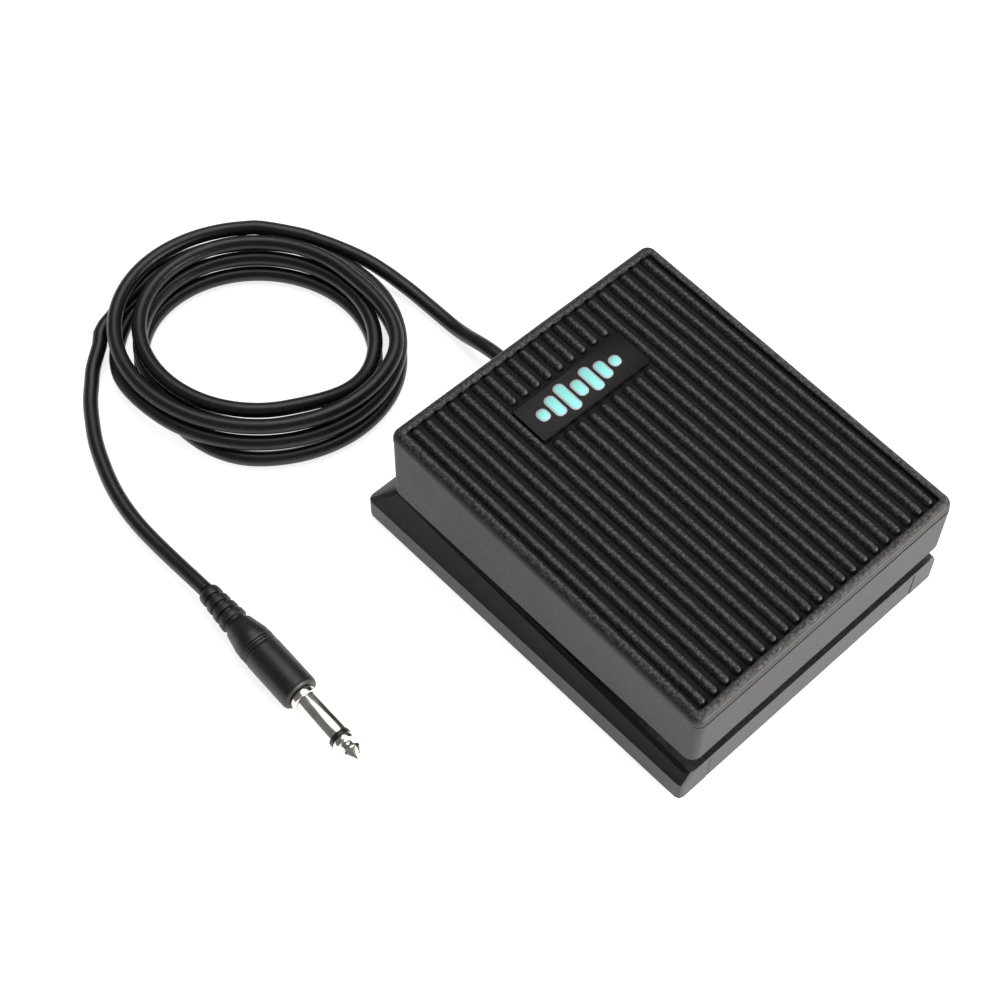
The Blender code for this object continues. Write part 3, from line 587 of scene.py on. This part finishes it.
def ribbed_sheet(shape, finish):
    """The pocket's floor with its rounded ribs, as one sheet of quads."""
    edge_x, edge_y = TREAD_HALF[0] - POCKET_INSET + 0.2, TREAD_HALF[1] - POCKET_INSET + 0.2
    columns = [-edge_x]
    for rib in rib_places():
        columns += [rib + step for step in RIB_COLUMNS]
    columns += [rib_places()[-1] - RIB_COLUMNS[0], edge_x]
    tip = [0.15 * k for k in range(-2, 11)]
    rows = {-edge_y, edge_y, -RIB_END - 0.6, RIB_END + 0.6}
    ends = (-RIB_END, 1), (RIB_END, -1), (LABEL_LOW[1] - 0.7, -1), (LABEL_HIGH[1] + 1.0, 1)
    for stop, side in ends:
        rows |= {round(stop + side * step, 3) for step in tip}
    rows |= {float(y) for y in range(-48, 49, 6)}
    rows = sorted(y for y in rows if abs(y) <= edge_y)
    ribs = list(rib_lines())
    grid = []
    for y in rows:
        line = []
        for x in columns:
            rise = 0.0
            for rib, start, stop in ribs:
                if abs(x - rib) < RIB_PITCH / 2 + 0.01:
                    beyond = max(0.0, start + RIB_FOOT - y, y - stop + RIB_FOOT)
                    distance = math.hypot(x - rib, beyond)
                    rise = max(rise, 1.0 - ease(distance, RIB_CREST, RIB_FOOT))
            z = -POCKET_DEPTH + rise * (POCKET_DEPTH + RIB_TOP)
            line.append(shape.verts.new(Vector((x, y, z)) * MM))
        grid.append(line)
    for near, far in zip(grid, grid[1:]):
        for i in range(len(columns) - 1):
            shape.faces.new((near[i], near[i + 1], far[i + 1], far[i])).material_index = finish


def make_tread():
    """The ribbed cap, whose rounded border runs down to the cover, with the label plate and its print."""
    matrix = Matrix.Translation(Vector(TREAD_MIDDLE) * MM) @ Matrix.Rotation(TREAD_SLOPE, 4, "X")
    shape = bmesh.new()
    section = [(POCKET_INSET, -POCKET_DEPTH - 0.3), (POCKET_INSET, -0.75), (POCKET_INSET - 0.15, -0.3)]
    for step in range(9):
        turn = math.radians(84 - 84 * step / 8)
        section.append((BORDER_ROUND * (1 - math.cos(turn)), CAP_EDGE * (math.sin(turn) - 1)))
    section += [(0, CAP_BOTTOM), (3, CAP_BOTTOM)]
    rings = []
    for inset, z in section:
        corner = max(0.8, TREAD_CORNER - inset)
        flat = rounded_ring(TREAD_HALF[0] - inset, TREAD_HALF[1] - inset, corner, 10)
        rings.append([(x, y, z) for x, y in flat])
    loft(shape, rings, [0] * GRAINY_BANDS + [1] * (len(rings) - 1 - GRAINY_BANDS))
    ribbed_sheet(shape, 0)
    cap = show("tread_ribbed", to_mesh("tread_ribbed", shape), matrix)
    paint(cap, "tread_rubber", "cover_plastic")
    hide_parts("tread_cap")
    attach(cap, "treadle")

    badge = bmesh.new()
    half_x, half_y = (LABEL_HIGH[0] - LABEL_LOW[0]) / 2, (LABEL_HIGH[1] - LABEL_LOW[1]) / 2
    middle = ((LABEL_LOW[0] + LABEL_HIGH[0]) / 2, (LABEL_LOW[1] + LABEL_HIGH[1]) / 2)
    rounded_block(badge, half_x, half_y, -1.55, -0.28, 0.8, 0.25, middle)
    plate = show("label_badge", to_mesh("label_badge", badge), matrix)
    paint(plate, "label_gloss")
    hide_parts("label_plate")
    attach(plate, "treadle")

    mark = bmesh.new()
    for i, height in enumerate(BAR_HEIGHTS):
        spot = (middle[0] + BAR_SHIFT + (i - len(BAR_HEIGHTS) // 2) * BAR_PITCH, middle[1])
        rounded_block(mark, 1.75, height / 2 + 0.45, -0.30, -0.24, 1.5, 0.02, spot, 0)
        rounded_block(mark, 1.25, height / 2, -0.30, -0.21, 1.1, 0.02, spot, 1)
    bars = show("label_print", to_mesh("label_print", mark), matrix)
    paint(bars, "print_white", "print_cyan", slot="label_gloss")
    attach(bars, "treadle")


# ---------------------------------------------------------------- housing


def outer_edge(edge, low, high, margin):
    """Whether an edge's middle lies within a margin of a box's upright faces."""
    middle = (edge.verts[0].co + edge.verts[1].co) / 2
    near_x = min(middle.x - low.x, high.x - middle.x) < margin
    near_y = min(middle.y - low.y, high.y - middle.y) < margin
    return near_x or near_y


def make_housing():
    """The base, its front strip and the treadle cover, with their outer edges rounded."""
    low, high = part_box("treadle_cover")

    def cover_rim(edge):
        low_down = max(v.co.z for v in edge.verts) < COVER_TOP
        return low_down and edge.calc_length() > COVER_SHORTEST and outer_edge(edge, low, high, COVER_REACH)

    refined("treadle_cover", "cover_moulding", cover_rim, 0.5, "cover_plastic", "treadle")

    base_low, base_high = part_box("base_shell")

    def base_edges(edge):
        height = (edge.verts[0].co.z + edge.verts[1].co.z) / 2
        chosen = BASE_BOTTOM < height < BASE_TOP and edge.calc_length() > BASE_SHORTEST
        return chosen and outer_edge(edge, base_low, base_high, BASE_REACH)

    base = refined("base_shell", "base_moulding", base_edges, 0.45, "base_plastic", "base")
    # The side skirts take the darker copy of the base plastic as painted shade.
    base.data.materials.append(FINISHES["base_skirt_shade"])
    for face in base.data.polygons:
        shaded_skirt = abs(face.normal.x) > 0.5 and face.normal.z > 0.12
        face.material_index = 1 if shaded_skirt else 0
    strip_low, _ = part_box("front_strip")

    def strip_edges(edge):
        return all(abs(v.co.y - strip_low.y) < 1e-5 for v in edge.verts)

    refined("front_strip", "front_strip_moulding", strip_edges, 0.3, "base_plastic", "base")


def under(node):
    """The point at the height of the floor below the middle of a CAD node, in millimetres."""
    low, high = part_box(node)
    return (low.x + high.x) / 2 / MM, (low.y + high.y) / 2 / MM, 0


def make_underside():
    """Feet with a moulded ring, and base screws with a round recess."""
    up = (0, 0, 1)
    for corner in ("front_left", "front_right", "rear_left", "rear_right"):
        foot, screw = f"foot_{corner}", f"base_screw_{corner}"
        turned(f"{foot}_ringed", FOOT_PROFILE, under(foot), up, "foot_rubber", foot, radius=0.12)
        turned(f"{screw}_turned", SCREW_PROFILE, under(screw), up, "bright_steel", screw, sides=32, radius=0.1)


# ---------------------------------------------------------------- scene


def make_camera():
    """The photograph's viewpoint."""
    data = bpy.data.cameras.new("camera")
    data.sensor_width = 36.0
    data.lens = CAMERA_LENS
    camera = bpy.data.objects.new("camera", data)
    bpy.context.scene.collection.objects.link(camera)
    turn = Matrix((CAMERA_RIGHT, CAMERA_UP, -Vector(CAMERA_FORWARD))).transposed().to_4x4()
    camera.matrix_world = Matrix.Translation(CAMERA_PLACE) @ turn
    bpy.context.scene.camera = camera


def add_lamp(name, place, target, size, power, colour=(1.0, 1.0, 1.0)):
    """An area lamp at a place, turned to a target."""
    data = bpy.data.lights.new(name, "AREA")
    data.shape = "RECTANGLE"
    data.size, data.size_y = size
    data.energy = power
    data.color = colour
    lamp = bpy.data.objects.new(name, data)
    bpy.context.scene.collection.objects.link(lamp)
    aim = (Vector(target) - Vector(place)).to_track_quat("-Z", "Y").to_matrix().to_4x4()
    lamp.matrix_world = Matrix.Translation(place) @ aim


def make_floor():
    """A plain white floor, bright enough to lose most of the shadow."""
    shape = bmesh.new()
    bmesh.ops.create_grid(shape, x_segments=1, y_segments=1, size=6.0)
    floor = show("floor", to_mesh("floor", shape))
    floor.location.z = -0.0002
    finish = bpy.data.materials.new("floor_white")
    finish.use_nodes = True
    shader = finish.node_tree.nodes["Principled BSDF"]
    shader.inputs["Base Color"].default_value = (0.8, 0.8, 0.8, 1.0)
    shader.inputs["Roughness"].default_value = 0.9
    shader.inputs["Specular IOR Level"].default_value = 0.0
    shader.inputs["Emission Color"].default_value = (1.0, 1.0, 1.0, 1.0)
    shader.inputs["Emission Strength"].default_value = 0.8
    floor.data.materials.append(finish)


def make_light():
    """Two area lamps under a dim sky that the camera sees as white."""
    world = bpy.data.worlds.new("studio")
    bpy.context.scene.world = world
    world.use_nodes = True
    tree = world.node_tree
    soft = tree.nodes["Background"]
    soft.inputs["Color"].default_value = (0.95, 0.97, 1.0, 1.0)
    soft.inputs["Strength"].default_value = 0.17
    plain = add_node(tree, "ShaderNodeBackground", {"Color": (1.0, 1.0, 1.0, 1.0), "Strength": 1.0})
    path = add_node(tree, "ShaderNodeLightPath")
    mix = add_node(tree, "ShaderNodeMixShader", {0: path.outputs["Is Camera Ray"]})
    tree.links.new(soft.outputs["Background"], mix.inputs[1])
    tree.links.new(plain.outputs["Background"], mix.inputs[2])
    tree.links.new(mix.outputs["Shader"], tree.nodes["World Output"].inputs["Surface"])
    add_lamp("front_light", (0.35, -1.10, 0.30), (0, 0, 0.03), (0.9, 0.35), 26, (1.0, 0.98, 0.95))
    add_lamp("top_light", (0.30, 0.35, 1.20), (0, 0.05, 0), (1.0, 1.0), 8)
    bpy.context.scene.view_settings.view_transform = "Standard"


def main():
    make_camera()
    for node, finish in CAD_FINISH.items():
        NODES[node].data.materials.clear()
        NODES[node].data.materials.append(FINISHES[finish])
    make_cord(make_plug())
    make_gland()
    make_tread()
    make_housing()
    make_underside()
    make_floor()
    make_light()


main()
